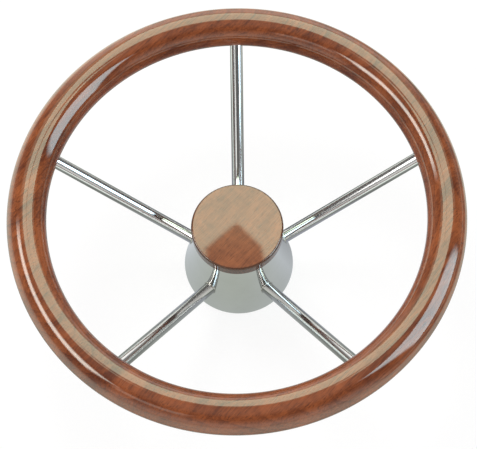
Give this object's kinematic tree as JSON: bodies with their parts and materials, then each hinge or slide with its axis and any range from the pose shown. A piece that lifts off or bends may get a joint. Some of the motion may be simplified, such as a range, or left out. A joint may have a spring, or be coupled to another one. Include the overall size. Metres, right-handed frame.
{
  "type": "boat steering wheel",
  "caption": "Dished steering wheel: round wooden rim on straight polished rod spokes that slope down to a conical hub with a wooden cap.",
  "frame": {"origin": "centre of the hub's rear face, the face that points to the boat's helm", "axes": "+Z along the wheel's axis towards the helmsman, +Y along the top spoke, +X to the helmsman's right"},
  "size_m": [0.35, 0.35, 0.127],
  "materials": {
    "varnished_rim": "reddish-brown hardwood under glossy varnish",
    "polished_rod": "mirror-polished stainless steel",
    "polished_shell": "mirror-polished stainless steel",
    "turned_core": "turned stainless steel",
    "varnished_cap": "reddish-brown hardwood under glossy varnish",
    "spigot_plastic": "black turned plastic",
    "seal_rubber": "black rubber",
    "screw_steel": "plain stainless steel"
  },
  "bodies": {
    "root": {"wooden_rim": "varnished_rim", "spoke_top": "polished_rod", "spoke_right": "polished_rod", "spoke_lower_right": "polished_rod", "spoke_lower_left": "polished_rod", "spoke_left": "polished_rod", "hub_shell": "polished_shell", "hub_core": "turned_core", "wooden_cap": "varnished_cap", "cap_spigot": "spigot_plastic", "cap_seal": "seal_rubber", "cap_screws": "screw_steel"}
  },
  "joints": []
}
